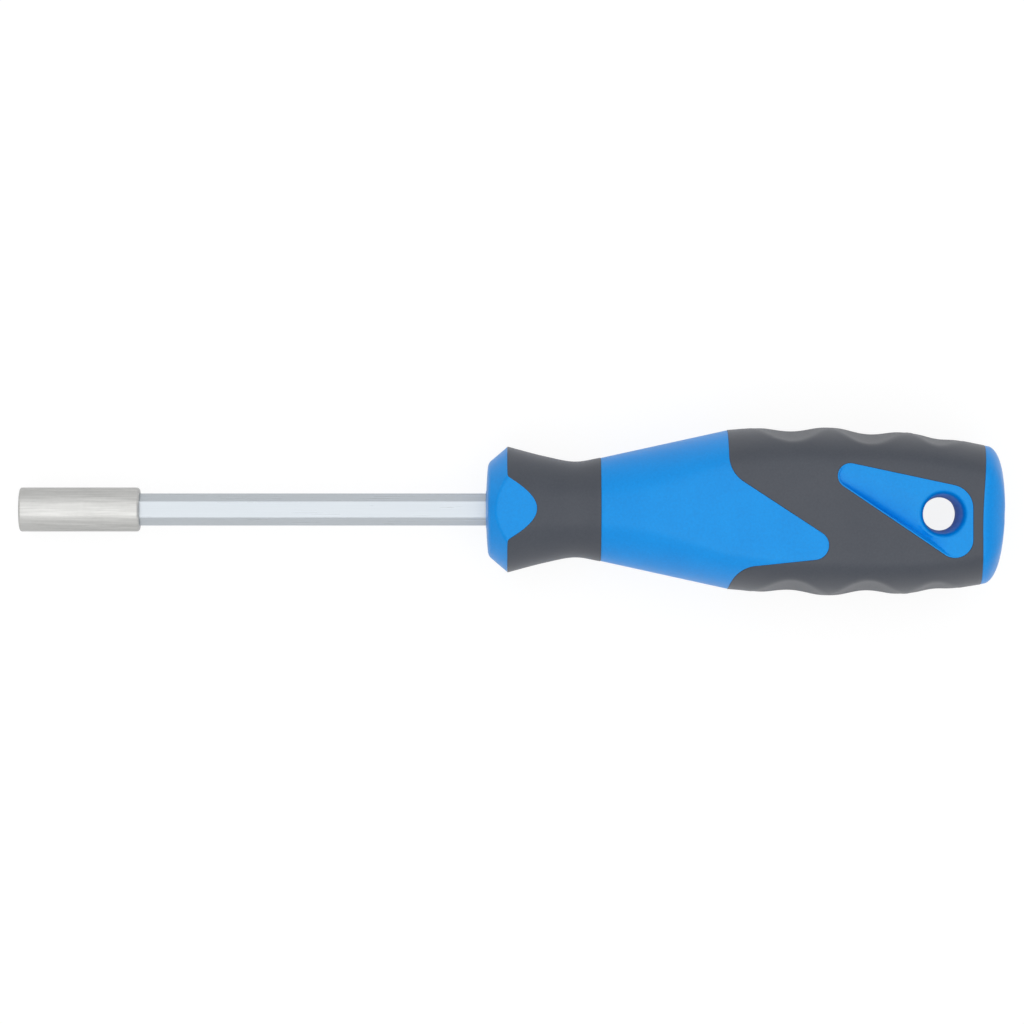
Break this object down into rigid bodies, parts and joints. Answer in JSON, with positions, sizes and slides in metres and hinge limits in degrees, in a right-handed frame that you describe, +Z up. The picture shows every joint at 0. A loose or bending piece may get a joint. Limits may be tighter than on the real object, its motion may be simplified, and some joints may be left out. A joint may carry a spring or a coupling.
{
  "type": "bit holder screwdriver",
  "caption": "Screwdriver with a fixed magnetic hexagon bit sleeve on a hexagon shaft, and a moulded handle of hard plastic with soft finger grips and a hang hole.",
  "frame": {"origin": "centre of the tool's footprint on the bench that it lies on", "axes": "+X along the tool from the bit sleeve to the end cap, +Z up from the bench; the tool's own axis rises 2.68 degrees towards the cap because the tool lies on its collar flat and on the broad flat of its handle"},
  "size_m": [0.224, 0.0382, 0.0311],
  "materials": {
    "plated_shaft": "satin plated steel",
    "stainless_sleeve": "brushed stainless",
    "magnet": "nickel plated",
    "spring_steel": "drawn spring wire",
    "core_plastic": "moulded, hidden",
    "blue_plastic": "fine satin moulding",
    "soft_grip": "matte soft moulding"
  },
  "bodies": {
    "driver": {"hex_shaft": "plated_shaft", "bit_sleeve": "stainless_sleeve", "bit_magnet": "magnet", "tang_core": "core_plastic", "hard_body": "blue_plastic", "neck_grip": "soft_grip", "rear_grip": "soft_grip"},
    "ring": {"retaining_ring": "spring_steel"}
  },
  "joints": [
    {"name": "ring_turn", "type": "hinge", "parent": "driver", "child": "ring", "pos_m": [-0.10762, 0.00038, 0.00765], "axis": [0.9989, 0, 0.0467], "continuous": true}
  ]
}
